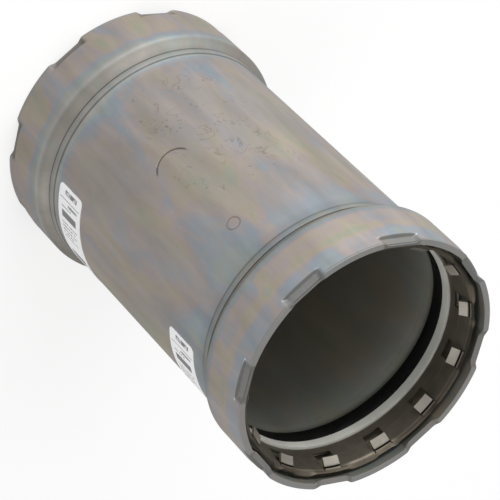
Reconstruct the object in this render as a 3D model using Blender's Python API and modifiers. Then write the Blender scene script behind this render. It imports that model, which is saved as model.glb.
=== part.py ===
"""Press slip coupling for 2 1/2 inch steel pipe, standing on one end.

The frame is in metres with +Z up. The origin is the centre of the bottom rim,
and the coupling is the same at both ends: a steel tube opened out into a
socket that holds a seal, a separator ring and a toothed grip ring.
"""
import math

import bmesh
import bpy
from mathutils import Matrix, Vector

# The pipe that the coupling joins, and the room that it needs
PIPE_R = 0.0365
BORE_CLEAR = 0.0009
RING_ROOM = 0.0045

# Body tube
LENGTH = 0.1414
BODY_WALL = 0.0026
SOCKET_WALL = 0.0020
CONE_LENGTH = 0.0033
BEAD_RISE = 0.0004
BEAD_LENGTH = 0.0029
RIM_EDGE = 0.00045
CONE_EDGE = 0.0012
STEPS_PER_NOTCH = 12

# Notches pressed into each rim, which keep the grip ring in
NOTCH_COUNT = 8
NOTCH_PHASE = math.radians(-4.0)
NOTCH_FLOOR = math.radians(12.0)
NOTCH_SLOPE = math.radians(3.6)
NOTCH_HEIGHT = 0.0032
NOTCH_SHOULDER = 0.0004
NOTCH_DEPTH = 0.0017
NOTCH_INNER_DEPTH = 0.0018

# Clearance between pieces that touch on the real coupling
SEAT = 0.0003

# Grip ring, stamped from thin stainless strip and rolled into a split ring
GRIP_SHEET = 0.0007
GRIP_MOUTH = 0.0024
GRIP_BEND = 0.0039
GRIP_BACK = 0.0131
GRIP_TAPER = 0.0012
GRIP_STEPS = 78
GRIP_JOINT = 0.0030
LIP_GAP = 0.0004
LIP_WAVE_FLAT = math.radians(16.0)
LIP_WAVE_END = math.radians(28.0)
TOOTH_COUNT = 13
TOOTH_SHEET = 0.0006
TOOTH_ROOT = 0.00015
TOOTH_START = math.radians(-38.0)
TOOTH_PITCH = math.radians(26.85)
TOOTH_WIDTH = 0.0056
TOOTH_LENGTH = 0.0032
TOOTH_TILT = math.radians(34.0)
WINDOW_MOUTH = 0.0044
WINDOW_LENGTH = 0.0061
WINDOW_SIDE = 0.0003

# Separator ring and seal
SEPARATOR_THICK = 0.0023
SEPARATOR_CLEAR = 0.0002
SEPARATOR_EDGE = 0.0006
SEAL_LENGTH = 0.0048
SEAL_STRAIGHT = 0.0028
SEAL_CLEAR = 0.00045
SEAL_EDGE = 0.0008
SEAL_LEAD = 0.0010
RING_STEPS = 60

# Paper labels stuck round the body
LABEL_WIDTH = 0.0360
LABEL_HEIGHT = 0.0138
LABEL_THICK = 0.0003
LABEL_CORNER = 0.0016
LABEL_STEPS = 10
LABEL_LOW_GAP = 0.0029
LABEL_HIGH_GAP = 0.0055
LABEL_LOW_START = math.radians(-49.6)
LABEL_HIGH_START = math.radians(-37.0)

SMOOTH_ANGLE = math.radians(35.0)


def clear_scene():
    for item in list(bpy.data.objects):
        bpy.data.objects.remove(item, do_unlink=True)


def collection(name):
    made = bpy.data.collections.new(name)
    bpy.context.scene.collection.children.link(made)
    return made


def material(name, colour, metallic, roughness):
    made = bpy.data.materials.new(name)
    made.use_nodes = True
    shader = made.node_tree.nodes["Principled BSDF"]
    shader.inputs["Base Color"].default_value = (*colour, 1.0)
    shader.inputs["Metallic"].default_value = metallic
    shader.inputs["Roughness"].default_value = roughness
    made.diffuse_color = (*colour, 1.0)
    return made


def rounded(corners, arc_points=2):
    """Close a section through (radius, height, fillet) corners, with an arc at each fillet."""
    outline = []
    count = len(corners)
    for index, (radius, height, fillet) in enumerate(corners):
        here = Vector((radius, height))
        if fillet == 0.0:
            outline.append(here)
            continue
        before = Vector(corners[index - 1][:2]) - here
        after = Vector(corners[(index + 1) % count][:2]) - here
        half = before.angle(after) / 2.0
        reach = min(fillet / math.tan(half), 0.45 * before.length, 0.45 * after.length)
        arc_radius = reach * math.tan(half)
        bisector = (before.normalized() + after.normalized()).normalized()
        centre = here + bisector * (arc_radius / math.sin(half))
        start = here + before.normalized() * reach - centre
        sweep = start.angle_signed(here + after.normalized() * reach - centre)
        for step in range(arc_points + 1):
            turn = Matrix.Rotation(-sweep * step / arc_points, 2)
            outline.append(centre + turn @ start)
    return outline


def turned(name, outline, steps, home):
    """Turn a closed section round Z; the section runs down its outer side."""
    mesh = bpy.data.meshes.new(name)
    edges = [(i, (i + 1) % len(outline)) for i in range(len(outline))]
    mesh.from_pydata([(p.x, 0.0, p.y) for p in outline], edges, [])
    item = bpy.data.objects.new(name, mesh)
    home.objects.link(item)
    screw = item.modifiers.new("turn", "SCREW")
    screw.steps = steps
    screw.render_steps = steps
    screw.use_merge_vertices = True
    screw.merge_threshold = 0.00001
    return item


def settle(item):
    """Replace an object's mesh by its evaluated mesh."""
    bpy.context.view_layer.update()
    result = item.evaluated_get(bpy.context.evaluated_depsgraph_get())
    mesh = bpy.data.meshes.new_from_object(result)
    item.modifiers.clear()
    item.data = mesh
    return item


def smooth(item, finish):
    item.data.materials.clear()
    item.data.materials.append(finish)
    item.data.shade_smooth()
    item.data.set_sharp_from_angle(angle=SMOOTH_ANGLE)


def mirrored(corners):
    """Follow corners of the upper half with their mirror images in the lower half."""
    lower = [(radius, LENGTH - height, fillet) for radius, height, fillet in reversed(corners)]
    return corners + lower


def bore_r():
    return PIPE_R + BORE_CLEAR


def body_r():
    return bore_r() + BODY_WALL


def socket_inner_r():
    return PIPE_R + RING_ROOM


def socket_r():
    return socket_inner_r() + SOCKET_WALL


def seal_front():
    """Depth below the rim of the seal, behind the grip ring and the separator."""
    return GRIP_BACK + SEAT + SEPARATOR_THICK + SEAT


def socket_depth():
    return seal_front() + SEAL_STRAIGHT


def socket_end():
    """Depth below the rim at which the plain middle of the body starts."""
    return socket_depth() + CONE_LENGTH + BEAD_LENGTH


def cone_slope():
    return (socket_r() - body_r() - BEAD_RISE) / CONE_LENGTH


def inner_cone_depth(radius):
    """Depth below the rim at which the socket's inner cone has a given radius."""
    start = socket_depth() - SOCKET_WALL * math.tan(math.atan(cone_slope()) / 2.0)
    return start + (socket_inner_r() - radius) / cone_slope()


def from_notch(angle):
    """Signed angle from the nearest notch's middle."""
    pitch = 2.0 * math.pi / NOTCH_COUNT
    return (angle - NOTCH_PHASE + pitch / 2.0) % pitch - pitch / 2.0


def notch_share(away):
    """One on a notch's floor, falling to zero along its end slopes."""
    past = abs(away) - NOTCH_FLOOR / 2.0
    return min(max(1.0 - past / NOTCH_SLOPE, 0.0), 1.0)


def body_outline():
    notch_end = NOTCH_HEIGHT + NOTCH_SHOULDER
    outer = mirrored([
        (socket_r(), LENGTH, RIM_EDGE),
        (socket_r(), LENGTH - NOTCH_HEIGHT, 0.0),
        (socket_r(), LENGTH - notch_end, 0.0),
        (socket_r(), LENGTH - socket_depth(), CONE_EDGE),
        (body_r() + BEAD_RISE, LENGTH - socket_depth() - CONE_LENGTH, 0.0),
        (body_r(), LENGTH - socket_end(), 0.0),
    ])
    inner = mirrored([
        (socket_inner_r(), LENGTH, RIM_EDGE / 2.0),
        (socket_inner_r(), LENGTH - NOTCH_HEIGHT + 2.0 * NOTCH_SHOULDER, 0.0),
        (socket_inner_r(), LENGTH - notch_end - NOTCH_SHOULDER, 0.0),
        (socket_inner_r(), LENGTH - inner_cone_depth(socket_inner_r()), 0.0),
        (bore_r(), LENGTH - inner_cone_depth(bore_r()), 0.0),
    ])
    return rounded(outer + inner[::-1])


def press_notches(item):
    """Push both rims inwards at the notches, as a chord with sloping ends."""
    pitch = 2.0 * math.pi / NOTCH_COUNT
    column = pitch / STEPS_PER_NOTCH
    reach = NOTCH_HEIGHT + NOTCH_SHOULDER / 2.0
    middle_r = socket_r() - SOCKET_WALL / 2.0
    corner = [0.0, NOTCH_FLOOR / 4.0, NOTCH_FLOOR / 2.0, NOTCH_FLOOR / 2.0 + NOTCH_SLOPE]
    for vertex in item.data.vertices:
        radius = math.hypot(vertex.co.x, vertex.co.y)
        angle = math.atan2(vertex.co.y, vertex.co.x)
        index = round(angle / column)
        middle = round(index * column / pitch) * pitch
        away = index * column - middle
        side = min(round(abs(away) / column), len(corner))
        if side < len(corner):
            away = math.copysign(corner[side], away)
        height = vertex.co.z
        if min(height, LENGTH - height) < reach:
            outside = radius > middle_r
            depth = NOTCH_DEPTH if outside else NOTCH_INNER_DEPTH
            flat = math.cos(min(abs(away), NOTCH_FLOOR / 2.0))
            floor_r = (radius - depth) * math.cos(NOTCH_FLOOR / 2.0) / flat
            share = notch_share(away)
            radius = radius * (1.0 - share) + floor_r * share
        turn = middle + away + NOTCH_PHASE
        vertex.co.x = radius * math.cos(turn)
        vertex.co.y = radius * math.sin(turn)


def make_body(home, finish):
    steps = NOTCH_COUNT * STEPS_PER_NOTCH
    item = settle(turned("body", body_outline(), steps, home))
    press_notches(item)
    smooth(item, finish)
    return item


def grip_back_r():
    """Middle of the strip at the grip ring's back edge, clear of the pipe."""
    return PIPE_R + SEPARATOR_CLEAR + 1.4 * GRIP_SHEET


def grip_middle(depth):
    """Middle of the strip along the ring's tapering band."""
    share = (GRIP_BACK - depth) / (GRIP_BACK - GRIP_BEND)
    return grip_back_r() + GRIP_TAPER * share


def lip_r():
    """Outer radius of the grip ring's lip between the notches."""
    return socket_inner_r() - LIP_GAP


def grip_outline():
    """Section of the strip: a tapering band with a lip flared out at the mouth."""
    path = [
        Vector((lip_r() - GRIP_SHEET / 2.0, LENGTH - GRIP_MOUTH)),
        Vector((grip_middle(GRIP_BEND), LENGTH - GRIP_BEND)),
        Vector((grip_back_r(), LENGTH - GRIP_BACK)),
    ]
    lip_out = (path[1] - path[0]).orthogonal().normalized()
    band_out = (path[2] - path[1]).orthogonal().normalized()
    outward = [lip_out, (lip_out + band_out).normalized(), band_out]
    half = [0.5 * GRIP_SHEET, 0.5 * GRIP_SHEET / lip_out.dot(outward[1]), 0.5 * GRIP_SHEET]
    outer = [point + out * reach for point, out, reach in zip(path, outward, half)]
    inner = [point - out * reach for point, out, reach in zip(path, outward, half)]
    return outer + inner[::-1]


def wave_lip(item):
    """Draw the lip inwards at each notch, where the rim was pressed down on it."""
    bend_r = grip_middle(GRIP_BEND) - GRIP_SHEET / 2.0
    floor_r = (socket_inner_r() - NOTCH_INNER_DEPTH) * math.cos(NOTCH_FLOOR / 2.0)
    draw = lip_r() - (floor_r - SEAT)
    for vertex in item.data.vertices:
        depth = LENGTH - vertex.co.z
        if depth > (GRIP_MOUTH + GRIP_BEND) / 2.0:
            continue
        radius = math.hypot(vertex.co.x, vertex.co.y)
        angle = math.atan2(vertex.co.y, vertex.co.x)
        past = 2.0 * abs(from_notch(angle)) - LIP_WAVE_FLAT
        share = min(max(1.0 - past / (LIP_WAVE_END - LIP_WAVE_FLAT), 0.0), 1.0)
        share = share * share * (3.0 - 2.0 * share)
        share *= min((radius - bend_r) / (lip_r() - bend_r), 1.0)
        vertex.co.x *= (radius - draw * share) / radius
        vertex.co.y *= (radius - draw * share) / radius


def tooth_turns():
    return [TOOTH_START + index * TOOTH_PITCH for index in range(TOOTH_COUNT)]


def joint_turn():
    """Angle of the split in the ring, midway between the last tooth and the first."""
    return (TOOTH_START + tooth_turns()[-1]) / 2.0 + math.pi


def blocks(name, size, local, turns, home):
    """One mesh of a block repeated at the given angles, placed by a local matrix."""
    mesh = bpy.data.meshes.new(name)
    work = bmesh.new()
    for turn in turns:
        place = Matrix.Rotation(turn, 4, "Z") @ local @ Matrix.Diagonal((*size, 1.0))
        bmesh.ops.create_cube(work, size=1.0, matrix=place)
    work.to_mesh(mesh)
    work.free()
    item = bpy.data.objects.new(name, mesh)
    item.hide_render = True
    item.display_type = "WIRE"
    home.objects.link(item)
    return item


def combine(item, cutter, operation):
    step = item.modifiers.new(cutter.name, "BOOLEAN")
    step.operation = operation
    step.object = cutter
    step.solver = "EXACT"


def make_grip(name, home, cutters, finish):
    item = settle(turned(name, grip_outline(), GRIP_STEPS, home))
    wave_lip(item)
    middle = WINDOW_MOUTH + WINDOW_LENGTH / 2.0
    window = (6.0 * GRIP_SHEET, TOOTH_WIDTH + 2.0 * WINDOW_SIDE, WINDOW_LENGTH)
    place = Matrix.Translation((grip_middle(middle), 0.0, LENGTH - middle))
    turns = tooth_turns()
    combine(item, blocks(name + "_windows", window, place, turns, cutters), "DIFFERENCE")
    tooth = (TOOTH_SHEET, TOOTH_WIDTH, TOOTH_LENGTH + TOOTH_ROOT)
    root = Matrix.Translation((grip_middle(WINDOW_MOUTH), 0.0, LENGTH - WINDOW_MOUTH))
    hang = Matrix.Translation((0.0, 0.0, -(TOOTH_LENGTH - TOOTH_ROOT) / 2.0))
    place = root @ Matrix.Rotation(TOOTH_TILT, 4, "Y") @ hang
    combine(item, blocks(name + "_teeth", tooth, place, turns, cutters), "UNION")
    split = (8.0 * GRIP_SHEET, GRIP_JOINT, 2.0 * GRIP_BACK)
    place = Matrix.Translation((lip_r(), 0.0, LENGTH - GRIP_BACK))
    combine(item, blocks(name + "_split", split, place, [joint_turn()], cutters), "DIFFERENCE")
    settle(item)
    smooth(item, finish)
    return item


def separator_outline():
    front = LENGTH - GRIP_BACK - SEAT
    inner_r = PIPE_R + SEPARATOR_CLEAR
    outer_r = socket_inner_r() - SEAT
    return rounded([
        (outer_r, front, 0.0),
        (outer_r, front - SEPARATOR_THICK, 0.0),
        (inner_r, front - SEPARATOR_THICK, SEPARATOR_EDGE),
        (inner_r, front, SEPARATOR_EDGE),
    ])


def seal_outline():
    """A rubber ring that fills the socket's end, with a lead-in towards the mouth."""
    front = seal_front()
    back = front + SEAL_LENGTH
    inner_r = PIPE_R + SEAL_CLEAR
    outer_r = socket_inner_r() - SEAT
    shift = SEAT / math.sin(math.atan(cone_slope()))
    cone_start = inner_cone_depth(socket_inner_r()) - shift
    back_r = socket_inner_r() - (back - cone_start) * cone_slope()
    return rounded([
        (outer_r, LENGTH - front, SEAL_EDGE),
        (outer_r, LENGTH - inner_cone_depth(outer_r) + shift, 0.0),
        (back_r, LENGTH - back, 0.0),
        (inner_r, LENGTH - back, SEAL_EDGE),
        (inner_r, LENGTH - (front + back) / 2.0, 0.0),
        (inner_r + SEAL_LEAD, LENGTH - front, SEAL_EDGE),
    ])


def make_ring(name, outline, home, finish):
    item = settle(turned(name, outline, RING_STEPS, home))
    smooth(item, finish)
    return item


def flip(item):
    """Turn a piece of the top socket over into the bottom one, notch on notch."""
    turn = Matrix.Rotation(math.pi, 4, Vector((math.cos(NOTCH_PHASE), math.sin(NOTCH_PHASE), 0.0)))
    item.data.transform(Matrix.Translation((0.0, 0.0, LENGTH)) @ turn)


def make_label(name, start, foot, home, finish):
    """A thin round-cornered strip, laid flat and then wrapped round the body."""
    mesh = bpy.data.meshes.new(name)
    work = bmesh.new()
    size = Matrix.Diagonal((LABEL_WIDTH, LABEL_THICK, LABEL_HEIGHT, 1.0))
    bmesh.ops.create_cube(work, size=1.0, matrix=size)
    corners = [e for e in work.edges if abs(e.verts[0].co.y - e.verts[1].co.y) > LABEL_THICK / 2.0]
    bmesh.ops.bevel(work, geom=corners, offset=LABEL_CORNER, offset_type="OFFSET",
                    segments=3, profile=0.5, affect="EDGES")
    for step in range(1, LABEL_STEPS):
        cut = Vector((LABEL_WIDTH * (step / LABEL_STEPS - 0.5), 0.0, 0.0))
        everything = work.verts[:] + work.edges[:] + work.faces[:]
        bmesh.ops.bisect_plane(work, geom=everything, plane_co=cut, plane_no=(1.0, 0.0, 0.0))
    inside_r = body_r() + SEAT
    for vertex in work.verts:
        angle = start + (vertex.co.x + LABEL_WIDTH / 2.0) / inside_r
        radius = inside_r + LABEL_THICK / 2.0 - vertex.co.y
        height = foot + LABEL_HEIGHT / 2.0 + vertex.co.z
        vertex.co = (radius * math.cos(angle), radius * math.sin(angle), height)
    work.to_mesh(mesh)
    work.free()
    item = bpy.data.objects.new(name, mesh)
    home.objects.link(item)
    smooth(item, finish)


def main():
    clear_scene()
    home = collection("press_slip_coupling")
    cutters = collection("cutters")
    plated = material("zinc_nickel_plated_steel", (0.36, 0.35, 0.32), 0.9, 0.4)
    stainless = material("stainless_strip", (0.33, 0.31, 0.28), 1.0, 0.3)
    bright = material("separator_steel", (0.50, 0.50, 0.48), 0.9, 0.4)
    rubber = material("seal_rubber", (0.012, 0.013, 0.014), 0.0, 0.45)
    paper = material("label_paper", (0.80, 0.80, 0.80), 0.0, 0.6)
    make_body(home, plated)
    for end in ("top", "bottom"):
        pieces = [
            make_grip("grip_ring_" + end, home, cutters, stainless),
            make_ring("separator_ring_" + end, separator_outline(), home, bright),
            make_ring("seal_" + end, seal_outline(), home, rubber),
        ]
        if end == "bottom":
            for item in pieces:
                flip(item)
    low_foot = socket_end() + LABEL_LOW_GAP
    high_foot = LENGTH - socket_end() - LABEL_HIGH_GAP - LABEL_HEIGHT
    make_label("label_lower", LABEL_LOW_START, low_foot, home, paper)
    make_label("label_upper", LABEL_HIGH_START, high_foot, home, paper)


main()
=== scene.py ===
"""Press slip coupling for 2 1/2 inch steel pipe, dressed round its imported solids.

Metres, +Z up along the pipe axis. The coupling stands on its bottom rim, and the
camera looks down into the top socket. A depth is measured from the nearer rim.
"""
import math

import bmesh
import bpy
from mathutils import Matrix, Vector


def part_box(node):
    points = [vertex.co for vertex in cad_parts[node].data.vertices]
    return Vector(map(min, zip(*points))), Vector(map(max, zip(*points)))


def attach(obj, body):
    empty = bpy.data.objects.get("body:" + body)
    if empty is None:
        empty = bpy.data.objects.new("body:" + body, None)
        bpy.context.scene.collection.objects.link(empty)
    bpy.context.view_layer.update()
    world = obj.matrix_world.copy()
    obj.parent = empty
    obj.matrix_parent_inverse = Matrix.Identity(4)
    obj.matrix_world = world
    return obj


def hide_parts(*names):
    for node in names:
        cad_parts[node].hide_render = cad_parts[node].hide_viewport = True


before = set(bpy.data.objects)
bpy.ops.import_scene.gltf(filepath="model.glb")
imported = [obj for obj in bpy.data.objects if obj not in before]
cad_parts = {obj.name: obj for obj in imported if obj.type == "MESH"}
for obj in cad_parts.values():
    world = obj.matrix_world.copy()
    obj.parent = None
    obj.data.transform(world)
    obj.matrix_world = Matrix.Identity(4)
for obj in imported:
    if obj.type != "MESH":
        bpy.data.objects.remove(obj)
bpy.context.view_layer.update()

# The camera stands off the open end and well above it, and is rolled so that the
# coupling lies across the picture from the upper left to the lower right. The way to
# the coupling's middle is given along the picture's right, down and into it.
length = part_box("body")[1][2]
tip_angle = math.radians(47.0)
to_middle = Vector((-0.00284, -0.00300, 0.80472))
sensor = 36.0
focal_pixels = 2637.8
picture_pixels = 500.0
across = Vector((-1.0, 0.0, 0.0))
along = Vector((0.0, math.cos(tip_angle), math.sin(tip_angle)))
picture_right = (across + along).normalized()
picture_down = (along - across).normalized()
looking = picture_right.cross(picture_down)
stand = Vector((0.0, 0.0, length / 2.0)) - (
    picture_right * to_middle.x + picture_down * to_middle.y + looking * to_middle.z)
lens = bpy.data.cameras.new("camera")
lens.sensor_width = sensor
lens.lens = sensor * focal_pixels / picture_pixels
camera = bpy.data.objects.new("camera", lens)
turn = Matrix((picture_right, -picture_down, -looking)).transposed().to_4x4()
camera.matrix_world = Matrix.Translation(stand) @ turn
bpy.context.scene.collection.objects.link(camera)
bpy.context.scene.camera = camera
bpy.context.scene.view_settings.view_transform = "Standard"

# Body: a length of steel tube, opened out into a socket at each end over a cone with
# a slight bead at its foot. Its rims are rolled and pressed in at eight notches, two
# marks are struck in its wall, and it is zinc-nickel plated, a satin grey.
body_r = 0.0400
bore_r = 0.0374
barrel_r = 0.0430
rim_r = 0.0428
socket_r = 0.0410
outer_side = 0.0395
rim_line_depth = 0.00062
rim_line_cut = 0.00026
barrel_depth = 0.0188
bead_depth = 0.0221
bead_r = 0.0404
bead_end = 0.0242
fold_cut = 0.00024
middle_depth = 0.0249
cone_inner_depth = 0.0182
bore_depth = 0.0228
columns = 576


def take(piece):
    """Make a piece the only one that is selected, and the active one."""
    bpy.ops.object.select_all(action="DESELECT")
    piece.select_set(True)
    bpy.context.view_layer.objects.active = piece


def start_circle(name, radius, height, count):
    """Start a turned piece as one circle round Z, all selected in edit mode."""
    bpy.ops.object.select_all(action="DESELECT")
    bpy.ops.mesh.primitive_circle_add(
        vertices=count, radius=radius, fill_type="NOTHING", location=(0.0, 0.0, height))
    piece = bpy.context.object
    piece.name = piece.data.name = name
    bpy.ops.object.transform_apply(location=True, rotation=True, scale=True)
    bpy.ops.object.mode_set(mode="EDIT")
    bpy.ops.mesh.select_all(action="SELECT")
    return piece


def draw_out(stations):
    """Extrude the selected circle from the first (radius, height) to each next one."""
    for (radius, height), (next_radius, next_height) in zip(stations, stations[1:]):
        bpy.ops.mesh.extrude_edges_move(
            TRANSFORM_OT_translate={"value": (0.0, 0.0, next_height - height)})
        share = next_radius / radius
        bpy.ops.transform.resize(
            value=(share, share, 1.0), center_override=(0.0, 0.0, next_height))


def face_out():
    """Turn the faces of the piece in edit mode outwards."""
    bpy.ops.mesh.select_all(action="SELECT")
    bpy.ops.mesh.normals_make_consistent(inside=False)


def close_up():
    """Merge the last circle into the first, and turn the faces outwards."""
    bpy.ops.mesh.select_all(action="SELECT")
    bpy.ops.mesh.remove_doubles(threshold=1e-6)
    face_out()


def round_circles(piece, places, size, segments):
    """Round the circles that lie at the given (radius, height) places."""
    mesh = bmesh.from_edit_mesh(piece.data)
    bpy.ops.mesh.select_all(action="DESELECT")
    for edge in mesh.edges:
        ends = [(math.hypot(v.co.x, v.co.y), v.co.z) for v in edge.verts]
        edge.select_set(any(all(math.hypot(r - end_r, z - end_z) < 1e-5 for end_r, end_z in ends)
                            for r, z in places))
    bmesh.update_edit_mesh(piece.data)
    bpy.ops.mesh.bevel(offset=size, offset_type="OFFSET", segments=segments, affect="EDGES")


def smooth(piece, degrees):
    """Leave edit mode and shade a piece smooth, but for edges sharper than this."""
    bpy.ops.object.mode_set(mode="OBJECT")
    take(piece)
    bpy.ops.object.shade_smooth_by_angle(angle=math.radians(degrees))


def both_ends(half):
    """Follow (radius, depth) stations of the top socket with those of the bottom one."""
    return [(r, length - d) for r, d in half] + [(r, d) for r, d in reversed(half)]


def pick(piece, kind, wanted):
    """Select the edges or faces that are wanted, by their middle and their corners."""
    bpy.ops.mesh.select_all(action="DESELECT")
    mesh = bmesh.from_edit_mesh(piece.data)
    for item in getattr(mesh, kind):
        middle = sum((v.co for v in item.verts), Vector()) / len(item.verts)
        item.select_set(wanted(middle, item.verts))
    bmesh.update_edit_mesh(piece.data)


# The wall is turned from its true section. It has extra circles where the notches are
# pressed in and where the two marks are struck.
notch_rows = (0.0009, 0.0014, 0.0021, 0.0027, 0.00305, 0.00315, 0.00325, 0.00335, 0.00345, 0.0037)
outside = [(rim_r, 0.0), (rim_r, rim_line_depth - 0.00018), (rim_r - rim_line_cut, rim_line_depth),
           (rim_r, rim_line_depth + 0.00016)]
outside += [(rim_r, d) for d in notch_rows]
outside += [(barrel_r, d) for d in (0.0060, 0.0095, 0.0130, 0.0160, barrel_depth)]
outside += [(bead_r, bead_depth), (bead_r - fold_cut, bead_depth + 0.00018),
            (bead_r + 0.00004, bead_depth + 0.00040), (bead_r, bead_end), (body_r, middle_depth)]
outside += [(body_r, d) for d in (0.0290, 0.0340)]
outside += [(body_r, 0.0370 + 0.0005 * step) for step in range(13)]
outside += [(body_r, d) for d in (0.0500, 0.0590)]
outside += [(body_r, 0.0600 + 0.0005 * step) for step in range(21)]
inside = [(socket_r, d) for d in (0.0, 0.0006, 0.0012, 0.0018, 0.0024, 0.0028, 0.0032, 0.0036,
                                  0.0040, 0.0060, 0.0100, 0.0140, cone_inner_depth)]
inside += [(bore_r, bore_depth), (bore_r, 0.0400)]
outline = both_ends(outside) + both_ends(inside)[::-1]
outline.append(outline[0])
body = start_circle("body_tube", outline[0][0], outline[0][1], columns)
draw_out(outline)
close_up()
for radius, depth, size, segments in ((barrel_r, barrel_depth, 0.0015, 6), (bead_r, bead_end, 0.0002, 3),
                                      (body_r, middle_depth, 0.0003, 3), (rim_r, 0.0, 0.00028, 3),
                                      (socket_r, 0.0, 0.00020, 2)):
    round_circles(body, [(radius, length - depth), (radius, depth)], size, segments)

# The two marks are a short arc and a small ring, one above the other on the wall, in
# patches of finer mesh.
mark_turn = math.radians(267.3)
arc_up = 0.0678
arc_r = 0.0060
arc_cut = 0.00019
ring_up = 0.1014
ring_r = 0.00215
ring_cut = 0.00011
for low, high, wide in ((arc_up - 0.0070, arc_up + 0.0009, 0.0070),
                        (ring_up - 0.0030, ring_up + 0.0030, 0.0030)):
    pick(body, "faces", lambda middle, corners:
         low < middle.z < high and math.hypot(middle.x, middle.y) > outer_side
         and abs(math.atan2(middle.y, middle.x) % (2.0 * math.pi) - mark_turn) * body_r < wide)
    bpy.ops.mesh.subdivide(number_cuts=3)
bpy.ops.object.mode_set(mode="OBJECT")


def ease(share):
    """Hold a share between nothing and one, with a soft start and a soft end."""
    share = min(max(share, 0.0), 1.0)
    return share * share * (3.0 - 2.0 * share)


def impressed(across, up):
    """Depth of the two marks struck in the tube, at a place on its unrolled wall."""
    reach = math.hypot(across, up - arc_up)
    turn = math.degrees(math.atan2(across, arc_up - up))
    arc = ease(1.0 - abs(reach - arc_r) / 0.00055) * ease((62.0 - abs(turn)) / 24.0)
    reach = math.hypot(across * 1.03, up - ring_up)
    uneven = 0.00010 * math.sin(3.0 * math.atan2(up - ring_up, across))
    ring = ease(1.0 - abs(reach - ring_r - uneven) / 0.00045)
    return arc_cut * arc + ring_cut * ring + 0.00003 * ease((0.0022 - reach) / 0.0004)


# A notch is a flat panel with a slope at each side. It is pressed in furthest at the
# rim and least on the inner wall, ends in a shoulder on the outer wall, and its end
# face dips towards the inside.
notch_count = 8
notch_phase = math.radians(-4.0)
notch_floor = math.radians(6.0)
notch_slope = math.radians(3.6)
notch_rim_depth = 0.0013
notch_root_depth = 0.0010
notch_inner_depth = 0.0009
notch_dip = 0.0010
notch_end = 0.0041
notch_root = 0.0032
shoulder = 0.00305
shoulder_fade = 0.0004


def from_notch(angle):
    """Signed angle from the nearest notch's middle."""
    pitch = 2.0 * math.pi / notch_count
    return (angle - notch_phase + pitch / 2.0) % pitch - pitch / 2.0


for vertex in body.data.vertices:
    depth = min(vertex.co.z, length - vertex.co.z)
    radius = math.hypot(vertex.co.x, vertex.co.y)
    if depth > 0.0350 and radius > outer_side:
        turn = math.atan2(vertex.co.y, vertex.co.x) % (2.0 * math.pi)
        share = 1.0 - impressed((turn - mark_turn) * body_r, vertex.co.z) / radius
        vertex.co.x *= share
        vertex.co.y *= share
    if depth > notch_end:
        continue
    away = abs(from_notch(math.atan2(vertex.co.y, vertex.co.x)))
    through = min(max((radius - socket_r) / (rim_r - socket_r), 0.0), 1.0)
    press = notch_inner_depth + (notch_rim_depth - notch_inner_depth) * through
    press -= (notch_rim_depth - notch_root_depth) * through * min(depth / notch_root, 1.0)
    flat = math.cos(min(away, notch_floor)) / math.cos(notch_floor)
    crisp = through * min(depth / 0.0024, 1.0)
    around = ease(1.0 - (away - notch_floor * (1.0 + 0.25 * crisp)) / (
        notch_slope * (1.0 - 0.4 * crisp)))
    if through > 0.5:
        around *= 1.0 - ease((depth - shoulder) / shoulder_fade)
    else:
        around *= 1.0 - ease((depth + 0.0006) / 0.0046)
    pressed = radius * (1.0 - around) + (radius - press) / flat * around
    vertex.co.x *= pressed / radius
    vertex.co.y *= pressed / radius
    dip = notch_dip * (1.0 - through) * around * max(1.0 - depth / 0.003, 0.0)
    vertex.co.z += math.copysign(dip, length / 2.0 - vertex.co.z)

smooth(body, 50.0)
eased = {"interpolation_type": "SMOOTHSTEP"}


def from_hex(code):
    """Linear colour of an sRGB hex code."""
    parts = [int(code[i:i + 2], 16) / 255.0 for i in (1, 3, 5)]
    return [p / 12.92 if p <= 0.04045 else ((p + 0.055) / 1.055) ** 2.4 for p in parts] + [1.0]


def connect(node, inputs):
    """Set a node's inputs to values or to other nodes' outputs, in order or by name."""
    for name, value in inputs.items() if isinstance(inputs, dict) else enumerate(inputs):
        if isinstance(value, bpy.types.NodeSocket):
            node.id_data.links.new(value, node.inputs[name])
        else:
            node.inputs[name].default_value = value


def add(tree, kind, inputs=(), output=0, **settings):
    """Add a shader node with its settings and inputs, and give one of its outputs."""
    node = tree.nodes.new("ShaderNode" + kind)
    for name, value in settings.items():
        setattr(node, name, value)
    connect(node, inputs)
    return node.outputs[output]


def new_finish(name):
    """Start a material, and give it with its node tree and its shader."""
    finish = bpy.data.materials.new(name)
    finish.use_nodes = True
    return finish, finish.node_tree, finish.node_tree.nodes["Principled BSDF"]


def find_place(tree):
    """Give the place in the coupling, with its height, its radius and its depth."""
    place = add(tree, "TexCoord", output="Object")
    height = add(tree, "SeparateXYZ", [place], output="Z")
    flat = add(tree, "VectorMath", (place, (1.0, 1.0, 0.0)), operation="MULTIPLY")
    radius = add(tree, "VectorMath", [flat], output="Value", operation="LENGTH")
    from_top = add(tree, "Math", (length, height), operation="SUBTRACT")
    depth = add(tree, "Math", (height, from_top), operation="MINIMUM")
    return place, height, radius, depth


def clouds(tree, place, scale, detail, distortion=0.0):
    """Soft noise, on places scaled by (x, y, z) per metre."""
    sized = add(tree, "Mapping", {"Vector": place, "Scale": scale})
    return add(tree, "TexNoise", {"Vector": sized, "Scale": 1.0, "Detail": detail,
                                  "Distortion": distortion})


def near(tree, value, middle, none, full):
    """Mask by how far a value is from a middle: zero at none, and one at full."""
    off = add(tree, "Math", (value, middle), operation="SUBTRACT")
    off = add(tree, "Math", [off], operation="ABSOLUTE")
    return add(tree, "MapRange", (off, none, full), **eased)


def overlap(tree, mask, *others):
    """Mask of what several masks have in common, or of a share of one."""
    for other in others:
        mask = add(tree, "Math", (mask, other), operation="MULTIPLY")
    return mask


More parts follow.
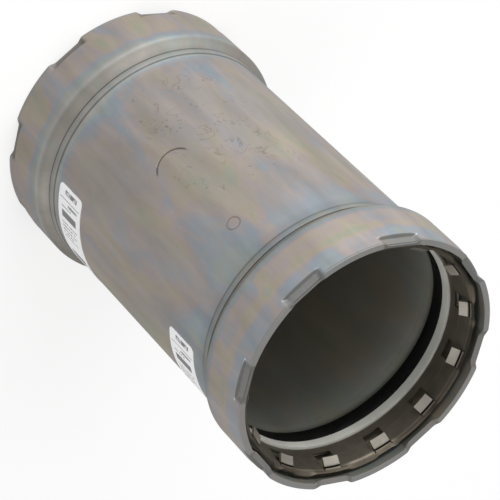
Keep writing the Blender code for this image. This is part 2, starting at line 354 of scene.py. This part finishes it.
def coat(piece, finish):
    """Give a piece one finish all over."""
    piece.data.materials.clear()
    piece.data.materials.append(finish)


def fit(piece, node):
    """Let a finished piece stand for its solid, on the coupling's one body."""
    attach(piece, "root")
    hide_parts(node)


plated, tree, shader = new_finish("zinc_nickel_plated_steel")
place, height, radius, depth = find_place(tree)

# The passivated film is a thin clear layer, so its tint follows its thickness: in
# bands along the tube where the bath ran off the cones and rims, in blotches about
# 14 mm wide and 35 mm long, and in wisps of 4 mm by 14 mm. It is strong in places only.
bands = add(tree, "FloatCurve", {"Value": add(tree, "Math", (height, length), operation="DIVIDE")})
curve = bands.node.mapping.curves[0]
curve.points[0].location = (0.0, 0.50)
curve.points[1].location = (1.0, 0.52)
for way, thickness in ((0.055, 0.36), (0.085, 0.40), (0.107, 0.74), (0.135, 0.93), (0.165, 0.95),
                       (0.20, 0.58), (0.30, 0.45), (0.50, 0.42), (0.70, 0.47), (0.755, 0.57),
                       (0.785, 0.70), (0.815, 0.70), (0.84, 0.86), (0.865, 0.93), (0.89, 0.40),
                       (0.915, 0.42), (0.935, 0.24), (0.96, 0.62)):
    curve.points.new(way, thickness)
bands.node.mapping.update()
film = bands
for pattern, share in ((clouds(tree, place, (72.0, 72.0, 29.0), 3.0, 0.8), 1.25),
                       (clouds(tree, place, (240.0, 240.0, 72.0), 3.0, 1.3), 0.50)):
    swing = add(tree, "Math", (pattern, 0.5), operation="SUBTRACT")
    film = add(tree, "Math", (swing, share, film), operation="MULTIPLY_ADD")
tints = add(tree, "ValToRGB", [film])
film_tints = ((0.00, "#A09F9B"), (0.16, "#A1A190"), (0.31, "#ABA192"), (0.45, "#A99E9A"),
              (0.57, "#A09D9F"), (0.71, "#959EA7"), (0.83, "#9AA29F"), (0.96, "#A1A09C"))
ramp = tints.node.color_ramp
while len(ramp.elements) < len(film_tints):
    ramp.elements.new(0.5)
for element, (position, code) in zip(ramp.elements, film_tints):
    element.position = position
    element.color = from_hex(code)
strong = add(tree, "MapRange", (clouds(tree, place, (85.0, 85.0, 38.0), 3.0, 0.3), 0.36, 0.62, 0.30, 1.0))
towards_ends = near(tree, height, length / 2.0, 0.020, 0.042)
strong = add(tree, "Math", (towards_ends, 0.35, strong), operation="MULTIPLY_ADD", use_clamp=True)
colour = add(tree, "MixRGB", (strong, from_hex("#A19E9A"), tints))

# Stains and handling: soft grey smears 6 mm wide and 30 mm long, and draw lines along
# the tube.
smear = add(tree, "MapRange", (clouds(tree, place, (170.0, 170.0, 34.0), 6.0, 0.4), 0.3, 0.7, 0.86, 1.07))
colour = add(tree, "MixRGB", (1.0, colour, smear), blend_type="MULTIPLY")
draw_lines = clouds(tree, place, (2600.0, 2600.0, 26.0), 2.0)
draw_lines = add(tree, "MapRange", (draw_lines, 0.66, 0.80), **eased)

# Etching: on one side of the middle the pickling bath bit the steel, in pits of
# 0.3 to 0.6 mm that cluster, and in fine crooked lines.
side = add(tree, "VectorMath", (place, (-9.6, -23.2, 0.0)), output="Value", operation="DOT_PRODUCT")
bitten = overlap(tree, add(tree, "MapRange", (side, 0.82, 0.98), **eased),
                 add(tree, "MapRange", (height, 0.026, 0.040), **eased),
                 add(tree, "MapRange", (height, 0.104, 0.088), **eased))
pits = clouds(tree, place, (900.0, 900.0, 700.0), 3.0)
pit_clusters = clouds(tree, place, (170.0, 170.0, 110.0), 3.0)
pits = overlap(tree, add(tree, "MapRange", (pits, 0.56, 0.66), **eased),
               add(tree, "MapRange", (pit_clusters, 0.54, 0.64), **eased), 0.5)
wander = clouds(tree, place, (130.0, 130.0, 90.0), 5.0, 1.4)
line_clusters = clouds(tree, place, (150.0, 150.0, 70.0), 3.0)
crooked = overlap(tree, near(tree, wander, 0.5, 0.022, 0.004),
                  add(tree, "MapRange", (line_clusters, 0.50, 0.66), **eased), 0.45)
etched = overlap(tree, bitten, add(tree, "Math", (pits, crooked), operation="MAXIMUM"))
colour = add(tree, "MixRGB", (etched, colour, from_hex("#B2ADA7")), blend_type="MULTIPLY")

# Painted shade darkens the grooves of the two struck marks, as rings round their middles
# on the wall. Of the arc's ring only the lower part is there.
lower_part = add(tree, "MapRange", (height, arc_up - 0.0008, arc_up - 0.0030), **eased)
for up, size, width, kept in ((arc_up, arc_r, 0.00060, lower_part), (ring_up, ring_r, 0.00050, 0.5)):
    middle = (body_r * math.cos(mark_turn), body_r * math.sin(mark_turn), up)
    reach = add(tree, "VectorMath", (place, middle), output="Value", operation="DISTANCE")
    groove_shade = overlap(tree, near(tree, reach, size, width, 0.0), kept)
    # Painted shade in the grooves of the struck marks.
    colour = add(tree, "MixRGB", (groove_shade, colour, from_hex("#9A9790")), blend_type="MULTIPLY")

# The film is rubbed off the rims and out of the notches. Painted shade darkens the drawn
# cones, the fold at each cone's foot, the step at each bead's end and the inside of each
# socket, and the bore is mixed towards olive, partly the plating's tint and partly a painted reflection.
azimuth = add(tree, "Math", (add(tree, "SeparateXYZ", [place], output="Y"),
                             add(tree, "SeparateXYZ", [place], output="X")), operation="ARCTAN2")
away = add(tree, "Math", (azimuth, notch_phase), operation="SUBTRACT")
away = add(tree, "Math", (away, math.pi / notch_count), operation="PINGPONG")
in_notch = overlap(
    tree, add(tree, "MapRange", (away, math.radians(9.4), math.radians(8.2)), **eased),
    add(tree, "MapRange", (depth, 0.0035, 0.0033), **eased))
on_rim = add(tree, "MapRange", (depth, 0.0014, 0.0005), **eased)
rubbed = add(tree, "Math", (on_rim, in_notch), operation="MAXIMUM")
colour = add(tree, "MixRGB", (overlap(tree, rubbed, 0.75), colour, from_hex("#8E8E8B")))
outer = add(tree, "MapRange", (radius, 0.0389, 0.0394), **eased)
on_cone = overlap(tree, add(tree, "MapRange", (depth, 0.0180, 0.0196), **eased),
                  add(tree, "MapRange", (depth, 0.0226, 0.0222), **eased))
on_bead = overlap(tree, add(tree, "MapRange", (depth, 0.0221, 0.0225), **eased),
                  add(tree, "MapRange", (depth, 0.0258, 0.0249), **eased))
in_fold = overlap(tree, outer, near(tree, depth, bead_depth + 0.0002, 0.00034, 0.00012))
on_step = overlap(tree, outer, near(tree, depth, middle_depth - 0.0001, 0.00040, 0.00010))
in_socket = overlap(tree, add(tree, "MapRange", (radius, 0.0412, 0.0410), **eased),
                    add(tree, "MapRange", (depth, 0.0204, 0.0198), **eased))
inner = add(tree, "MapRange", (radius, 0.0394, 0.0388), **eased)
inner = add(tree, "Math", (inner, in_socket), operation="MAXIMUM")
end_dip = add(tree, "MapRange", (away, math.radians(10.0), math.radians(7.5)), **eased)
off_face = add(tree, "Math", (depth, overlap(tree, end_dip, 0.0009)), operation="SUBTRACT")
inner = overlap(tree, inner, add(tree, "MapRange", (off_face, 0.0001, 0.0004), **eased))
near_mouth = overlap(tree, inner, add(tree, "MapRange", (depth, 0.0240, 0.0200), **eased))
in_bore = overlap(tree, inner, add(tree, "MapRange", (depth, 0.0200, 0.0240), **eased))
# Of these tints, those on the cones, in the fold, on the step and near the mouth are painted shade.
for mask, code in ((in_notch, "#DAD8D5"), (on_cone, "#CFCAC5"), (in_fold, "#A8A5A2"),
                   (on_bead, "#E2E2E2"), (on_step, "#BCB9B5"), (near_mouth, "#BCBCAE")):
    colour = add(tree, "MixRGB", (mask, colour, from_hex(code)), blend_type="MULTIPLY")
# The bore's olive mix is partly the plating's tint and partly a painted reflection that lightens it.
for mask, share, code in ((in_bore, 0.32, "#C2C1A8"), (draw_lines, 0.10, "#D6D4D0")):
    colour = add(tree, "MixRGB", (overlap(tree, mask, share), colour, from_hex(code)))

# Satin metal, rougher where it was drawn, rubbed or pressed. Its grain is drawn 0.5 mm
# coarse so that it shows.
dull = add(tree, "Math", (on_cone, on_bead), operation="MAXIMUM")
dull = add(tree, "Math", (dull, rubbed), operation="MAXIMUM")
rough = add(tree, "MapRange", (clouds(tree, place, (95.0, 95.0, 40.0), 4.0), 0.3, 0.7, 0.38, 0.50))
rough = add(tree, "Math", (dull, 0.20, rough), operation="MULTIPLY_ADD")
relief = overlap(tree, clouds(tree, place, (2200.0, 2200.0, 1500.0), 3.0), 0.35)
relief = add(tree, "Math", (relief, etched), operation="SUBTRACT")
relief = add(tree, "Math", (relief, overlap(tree, draw_lines, 0.15)), operation="SUBTRACT")
connect(shader, {
    "Base Color": colour, "Metallic": 0.55, "Roughness": rough,
    "Normal": add(tree, "Bump", {"Height": relief, "Strength": 0.5, "Distance": 0.00004})})
coat(body, plated)
fit(body, "body")

# Grip ring: stamped from stainless strip and rolled into a split ring, one in each
# socket. Thirteen tongues are folded inwards out of their windows to bite the pipe, each
# with a crease across its root, and the flared lip is drawn inwards at each tongue and
# wherever a rim notch was pressed down on it.
sheet = 0.0007
tooth_count = 13
tooth_start = math.radians(-38.0)
tooth_pitch = math.radians(26.85)
joint_gap = 0.0030
strip_r = 0.0384
tooth_half = 0.0028
window_half = 0.0031
lip_edge = Vector((0.03925, 0.00230))
lip_hinge = Vector((0.03899, 0.00290))
lip_foot = Vector((0.03893, 0.0033))
strip_back = Vector((0.03771, 0.0126))
lip_reach = 0.00107
strip_reach = lip_reach + (strip_back - lip_foot).length
tongue_root = lip_reach - 0.0002
window_end = lip_reach + 0.0073
pitch_arc = strip_r * tooth_pitch
end_arc = (2.0 * math.pi * strip_r - joint_gap - tooth_count * pitch_arc) / 2.0


def start_sheet(name, width, height, middle):
    """Start a flat piece as one face round a middle on Y, all selected in edit mode."""
    bpy.ops.object.select_all(action="DESELECT")
    bpy.ops.mesh.primitive_plane_add(size=1.0, location=(0.0, middle, 0.0))
    piece = bpy.context.object
    piece.name = piece.data.name = name
    piece.scale = (width, height, 1.0)
    bpy.ops.object.transform_apply(location=True, rotation=True, scale=True)
    bpy.ops.object.mode_set(mode="EDIT")
    bpy.ops.mesh.select_all(action="SELECT")
    return piece


def cut_across(offset, axis):
    """Cut the flat piece in edit mode right across, at an offset along X or Y."""
    bpy.ops.mesh.select_all(action="SELECT")
    normal = Vector((1.0, 0.0, 0.0)) if axis == "X" else Vector((0.0, 1.0, 0.0))
    bpy.ops.mesh.bisect(plane_co=normal * offset, plane_no=normal)


def thicken(piece, thickness, offset, even=False):
    """Give a sheet its thickness, half to each side at offset 0 and outwards at 1."""
    gauge = piece.modifiers.new("gauge", "SOLIDIFY")
    gauge.thickness = thickness
    gauge.offset = offset
    gauge.use_even_offset = even
    bpy.ops.object.modifier_apply(modifier="gauge")


# One pitch of the strip is cut out flat, with its lip at y = 0. The window is deleted,
# and the tongue is drawn out of the window's edge in short steps that bend down, with
# the crease after the third. The pitches are joined in a row and given their ends.
grip = start_sheet("grip_strip_top", pitch_arc, strip_reach, -strip_reach / 2.0)
for step in range(1, 24):
    cut_across(pitch_arc * (step / 24.0 - 0.5), "X")
for edge in (tooth_half, window_half):
    cut_across(edge, "X")
    cut_across(-edge, "X")
for step in range(1, 9):
    cut_across(-tongue_root * step / 8.0, "Y")
for reach in (0.0, 0.0012, 0.0024, 0.0036, 0.0048, 0.0060, 0.0073, 0.0076, 0.0082, 0.0090):
    cut_across(-lip_reach - reach, "Y")
pick(grip, "faces", lambda middle, corners:
     abs(middle.x) < window_half and tongue_root < -middle.y < window_end)
bpy.ops.mesh.delete(type="FACE")
pick(grip, "edges", lambda middle, ends:
     abs(middle.x) < tooth_half and all(abs(v.co.y + tongue_root) < 1e-6 for v in ends))
tongue_steps = ((0.0003, -0.00013), (0.00036, -0.00015), (0.00018, -0.00008), (0.00018, -0.00012),
                (0.0007, -0.00047), (0.0010, -0.00067), (0.0009, -0.00060))
for reach, dip in tongue_steps:
    bpy.ops.mesh.extrude_edges_move(TRANSFORM_OT_translate={"value": (0.0, -reach, dip)})
crease_reach = tongue_root + sum(reach for reach, dip in tongue_steps[:3])
pick(grip, "edges", lambda middle, ends: all(abs(v.co.y + crease_reach) < 1e-6 for v in ends))
bpy.ops.object.vertex_group_assign_new()
bpy.ops.object.mode_set(mode="OBJECT")
row = grip.modifiers.new("row", "ARRAY")
row.count = tooth_count
row.use_relative_offset = False
row.use_constant_offset = True
row.constant_offset_displace = (pitch_arc, 0.0, 0.0)
row.use_merge_vertices = True
row.merge_threshold = 1e-6
bpy.ops.object.modifier_apply(modifier="row")
bpy.ops.object.mode_set(mode="EDIT")
for side, end in ((-1.0, -pitch_arc / 2.0), (1.0, (tooth_count - 0.5) * pitch_arc)):
    pick(grip, "edges", lambda middle, ends: all(abs(v.co.x - end) < 1e-6 for v in ends))
    for step in range(3):
        bpy.ops.mesh.extrude_edges_move(
            TRANSFORM_OT_translate={"value": (side * end_arc / 3.0, 0.0, 0.0)})
bpy.ops.object.mode_set(mode="OBJECT")
thicken(grip, sheet, 0.0, even=True)

# The flat strip is then rolled up. Its lip is drawn in at the notches and tongues, and
# spreads outwards all round but for a stretch of 48 degrees on one side.
crease_cut = 0.0004
notch_draw = 0.0005
tongue_draw = 0.0007
lip_spread = 0.0007
close_turn = 127.0
close_half = 24.0
close_fade = 12.0


def strip_place(reach):
    """Point and outward normal of the strip, as (radius, depth), a given way from its lip."""
    if reach > lip_reach:
        way = (strip_back - lip_foot).normalized()
        point = lip_foot + way * (reach - lip_reach)
    else:
        share = reach / lip_reach
        first, second = lip_edge.lerp(lip_hinge, share), lip_hinge.lerp(lip_foot, share)
        point, way = first.lerp(second, share), (second - first).normalized()
    return point, Vector((way.y, -way.x))


for vertex in grip.data.vertices:
    if vertex.groups and vertex.co.z < -sheet / 2.0:
        vertex.co.z += crease_cut
    angle = vertex.co.x / strip_r + tooth_start
    point, out = strip_place(-vertex.co.y)
    point = point + out * vertex.co.z
    lip_share = min(max(1.0 + vertex.co.y / lip_reach, 0.0), 1.0)
    over_notch = ease(1.0 - (abs(math.degrees(from_notch(angle))) - 8.0) / 4.0)
    past = (vertex.co.x + pitch_arc / 2.0) % pitch_arc - pitch_arc / 2.0
    over_tongue = ease(1.0 - (abs(past) - 0.0018) / 0.0024)
    spread = lip_spread * ease((abs(math.degrees(angle) - close_turn) - close_half) / close_fade)
    drawn = max((notch_draw + 0.4 * spread) * over_notch, tongue_draw * over_tongue) - spread
    radius = point.x - drawn * lip_share
    vertex.co = (radius * math.cos(angle), radius * math.sin(angle), length - point.y)
bpy.ops.object.mode_set(mode="EDIT")
face_out()
smooth(grip, 40.0)

# Rolled sheet: oil smears of 6 mm, and a fine grain of 0.4 mm that runs round the ring with
# its rolling direction. Painted shade darkens the strip off the tongues, so that the tongues
# look brighter, the crease of each tongue, and the lip, which is also rougher.
stainless, tree, shader = new_finish("stamped_stainless_strip")
place, height, radius, depth = find_place(tree)
smear = add(tree, "MapRange", (clouds(tree, place, (170.0, 170.0, 260.0), 4.0, 0.6), 0.3, 0.7, 0.80, 1.05))
colour = add(tree, "MixRGB", (1.0, from_hex("#A6A096"), smear), blend_type="MULTIPLY")
off_pad = add(tree, "Math", (add(tree, "MapRange", (radius, 0.03785, 0.03798), **eased),
                             add(tree, "MapRange", (depth, 0.0079, 0.0084), **eased)),
              operation="MAXIMUM")
crease_shade = overlap(tree, near(tree, depth, 0.00388, 0.00026, 0.00010),
                add(tree, "MapRange", (radius, 0.03850, 0.03835), **eased))
on_lip = add(tree, "MapRange", (depth, 0.0036, 0.0032), **eased)
# Painted shade: the strip off the tongues, the crease of each tongue and the lip are darkened here.
for mask, code in ((off_pad, "#C9C6BF"), (crease_shade, "#3A342E"), (on_lip, "#C2BEBA")):
    colour = add(tree, "MixRGB", (mask, colour, from_hex(code)), blend_type="MULTIPLY")
rough = add(tree, "MapRange", (depth, 0.0041, 0.0036, 0.36, 0.56), **eased)
grain = clouds(tree, place, (900.0, 900.0, 5200.0), 3.0)
connect(shader, {
    "Base Color": colour, "Metallic": 0.85, "Roughness": rough,
    "Normal": add(tree, "Bump", {"Height": grain, "Strength": 0.35, "Distance": 0.00002})})
coat(grip, stainless)


def turn_over(piece, name):
    """Copy a piece of the top socket into the bottom one, turned over, notch on notch."""
    take(piece)
    bpy.ops.object.duplicate(linked=False)
    copy = bpy.context.object
    copy.name = copy.data.name = name
    axis = Vector((math.cos(notch_phase), math.sin(notch_phase), 0.0))
    copy.matrix_world = Matrix.Translation((0.0, 0.0, length)) @ Matrix.Rotation(math.pi, 4, axis)
    bpy.ops.object.transform_apply(location=True, rotation=True, scale=True)
    return copy


fit(grip, "grip_ring_top")
fit(turn_over(grip, "grip_strip_bottom"), "grip_ring_bottom")

# Separator ring: a flat ring of satin stainless steel that keeps the teeth off the
# seal. It is turned with eased inner edges and lies loose behind the grip ring.
seat_r = 0.0407
separator_r = 0.0367
separator_front = 0.0129
separator_back = separator_front + 0.0028


def turn_ring(name, section, rounded, size, degrees):
    """Turn a ring from its (radius, depth) section, with some of its corners rounded."""
    outline = [(r, length - d) for r, d in section + section[:1]]
    ring = start_circle(name, outline[0][0], outline[0][1], 240)
    draw_out(outline)
    close_up()
    round_circles(ring, [outline[corner] for corner in rounded], size, 4)
    face_out()
    smooth(ring, degrees)
    return ring


separator = turn_ring("separator_top", [
    (seat_r, separator_front), (seat_r, separator_back), (separator_r, separator_back),
    (separator_r, separator_front)], (2, 3), 0.0006, 50.0)
# Satin turned finish: rings of 0.5 mm pitch and dull patches of 7 mm.
satin, tree, shader = new_finish("satin_stainless_ring")
place = add(tree, "TexCoord", output="Object")
dull = add(tree, "MapRange", (clouds(tree, place, (140.0, 140.0, 140.0), 4.0), 0.3, 0.7, 0.86, 1.0))
rings = clouds(tree, place, (150.0, 150.0, 4200.0), 2.0)
connect(shader, {
    "Base Color": add(tree, "MixRGB", (1.0, from_hex("#EBEBE3"), dull), blend_type="MULTIPLY"),
    "Metallic": 0.2, "Roughness": 0.55,
    "Normal": add(tree, "Bump", {"Height": rings, "Strength": 0.4, "Distance": 0.00002})})
coat(separator, satin)
fit(separator, "separator_ring_top")
fit(turn_over(separator, "separator_bottom"), "separator_ring_bottom")

# Seal: a moulded ring of black rubber that fills the end of the socket, with a
# lead-in towards the mouth and a rounded lip, slightly wet with grease.
seal_lip_r = 0.03695
seal_front = 0.0160
seal_back = 0.0208
seal = turn_ring("seal_top", [
    (seat_r, seal_front), (seat_r, 0.0180), (0.0379, seal_back), (seal_lip_r, seal_back),
    (seal_lip_r, 0.0184), (0.03795, seal_front)], (0, 3, 4, 5), 0.0005, 60.0)
# Moulded rubber: matt speckle of 0.7 mm under smears of grease 9 mm long.
rubber, tree, shader = new_finish("moulded_black_rubber")
place = add(tree, "TexCoord", output="Object")
greasy = add(tree, "MapRange", (clouds(tree, place, (110.0, 110.0, 400.0), 4.0), 0.3, 0.7, 0.22, 0.42))
speckle = clouds(tree, place, (1400.0, 1400.0, 1400.0), 2.0)
connect(shader, {
    "Base Color": from_hex("#101112"), "Roughness": greasy, "Specular IOR Level": 0.35,
    "Normal": add(tree, "Bump", {"Height": speckle, "Strength": 0.3, "Distance": 0.00002})})
coat(seal, rubber)
fit(seal, "seal_top")
fit(turn_over(seal, "seal_bottom"), "seal_bottom")

# Labels: two white self-adhesive paper strips, stuck part of the way round the body
# with their print along the pipe. The print here is plain rules, bars and rows.
label_width = 0.0360
label_height = 0.0138
label_r = 0.04002
label_corner = 0.0016
paper_thick = 0.0001
paper, tree, shader = new_finish("white_label_paper")
uv = add(tree, "TexCoord", output="UV")
print_place = add(tree, "VectorMath", (uv, (label_width * 1000.0, label_height * 1000.0, 1.0)),
                  operation="MULTIPLY")
print_x = add(tree, "SeparateXYZ", [print_place], output="X")
print_y = add(tree, "SeparateXYZ", [print_place], output="Y")


def bar(tree, low, high, foot, top):
    """Mask of a printed bar between these millimetres along and up the label."""
    wide = add(tree, "Math", (print_x, (low + high) / 2.0, (high - low) / 2.0), operation="COMPARE")
    tall = add(tree, "Math", (print_y, (foot + top) / 2.0, (top - foot) / 2.0), operation="COMPARE")
    return overlap(tree, wide, tall)


# Print: a solid rule and two solid bars, and rows broken up into plain dashes of 0.3 to
# 1.5 mm.
dash_place = add(tree, "VectorMath", (print_place, (0.35, 1.9, 1.0)), operation="MULTIPLY")
dashes = add(tree, "TexNoise", {"Vector": dash_place, "Scale": 1.0, "Detail": 1.0})
dashes = add(tree, "MapRange", (dashes, 0.44, 0.46), **eased)
ink = bar(tree, 4.45, 4.70, 0.9, 12.9)
for low, high, foot, top in ((8.8, 11.4, 2.4, 11.2), (25.4, 28.4, 2.4, 11.2)):
    ink = add(tree, "Math", (ink, bar(tree, low, high, foot, top)), operation="MAXIMUM")
rows = bar(tree, 1.3, 2.9, 3.6, 10.8)
for low, high, foot, top in ((5.6, 6.5, 6.0, 11.6), (7.2, 7.6, 2.2, 8.0), (13.2, 13.7, 2.0, 11.4),
                             (14.7, 15.2, 2.0, 10.2), (16.2, 16.7, 2.0, 11.0),
                             (17.7, 18.2, 2.0, 8.6), (19.2, 19.7, 2.0, 10.6)):
    rows = add(tree, "Math", (rows, bar(tree, low, high, foot, top)), operation="MAXIMUM")
ink = add(tree, "Math", (ink, overlap(tree, rows, dashes)), operation="MAXIMUM")
ink = overlap(tree, ink, 0.8)
fibre = clouds(tree, add(tree, "TexCoord", output="Object"), (1500.0, 1500.0, 1500.0), 3.0)
connect(shader, {
    "Base Color": add(tree, "MixRGB", (ink, from_hex("#E9E9EA"), from_hex("#3A3A3D"))),
    "Roughness": 0.55,
    "Normal": add(tree, "Bump", {"Height": fibre, "Strength": 0.3, "Distance": 0.00002})})
for name, start, foot, node in (("label_low", -49.6, 0.0279, "label_lower"),
                                ("label_high", -37.0, 0.0971, "label_upper")):
    label = start_sheet(name, label_width, label_height, 0.0)
    bpy.ops.mesh.bevel(offset=label_corner, segments=6, affect="VERTICES")
    for step in range(1, 60):
        cut_across(label_width * (step / 60.0 - 0.5), "X")
    bpy.ops.object.mode_set(mode="OBJECT")
    for vertex in label.data.vertices:
        angle = math.radians(start) + (vertex.co.x + label_width / 2.0) / 0.0403
        up = foot + label_height / 2.0 + vertex.co.y
        vertex.co = (label_r * math.cos(angle), label_r * math.sin(angle), up)
    thicken(label, paper_thick, 1.0)
    smooth(label, 40.0)
    coat(label, paper)
    fit(label, node)

# Floor and light: a plain white floor that keeps a soft shadow, two large soft lamps
# low at the sides, the stronger one where the photographer's was, and an even sky.
# The lift that makes the floor white is seen by the camera only.
floor_lift = 0.64
bpy.ops.object.select_all(action="DESELECT")
bpy.ops.mesh.primitive_plane_add(size=20.0, location=(0.0, 0.0, -0.00005))
floor = bpy.context.object
floor.name = floor.data.name = "floor"
bpy.ops.object.transform_apply(location=True, rotation=True, scale=True)
board, tree, shader = new_finish("white_floor_board")
seen = add(tree, "LightPath", output="Is Camera Ray")
connect(shader, {
    "Base Color": from_hex("#A8A8A8"), "Roughness": 0.9, "Specular IOR Level": 0.0,
    "Emission Color": from_hex("#FFFFFF"), "Emission Strength": overlap(tree, seen, floor_lift)})
coat(floor, board)

lamp_rise = math.radians(9.0)
lamp_distance = 1.3
lamp_height = 0.5


def soft_lamp(name, azimuth, width, watts):
    """Hang a soft lamp low down at one side, turned towards the coupling's middle."""
    data = bpy.data.lights.new(name, "AREA")
    data.shape = "RECTANGLE"
    data.size = width
    data.size_y = lamp_height
    data.energy = watts
    lamp = bpy.data.objects.new(name, data)
    turn = math.radians(azimuth)
    way = Vector((math.cos(lamp_rise) * math.cos(turn), math.cos(lamp_rise) * math.sin(turn),
                  math.sin(lamp_rise)))
    lamp.location = Vector((0.0, 0.0, length / 2.0)) + way * lamp_distance
    lamp.rotation_euler = way.to_track_quat("Z", "Y").to_euler()
    bpy.context.scene.collection.objects.link(lamp)


soft_lamp("side_lamp", azimuth=214.0, width=1.6, watts=25.0)
soft_lamp("fill_lamp", azimuth=352.0, width=0.8, watts=8.0)
world = bpy.data.worlds.new("studio")
world.use_nodes = True
connect(world.node_tree.nodes["Background"], {"Color": from_hex("#FFFFFF"), "Strength": 0.66})
bpy.context.scene.world = world
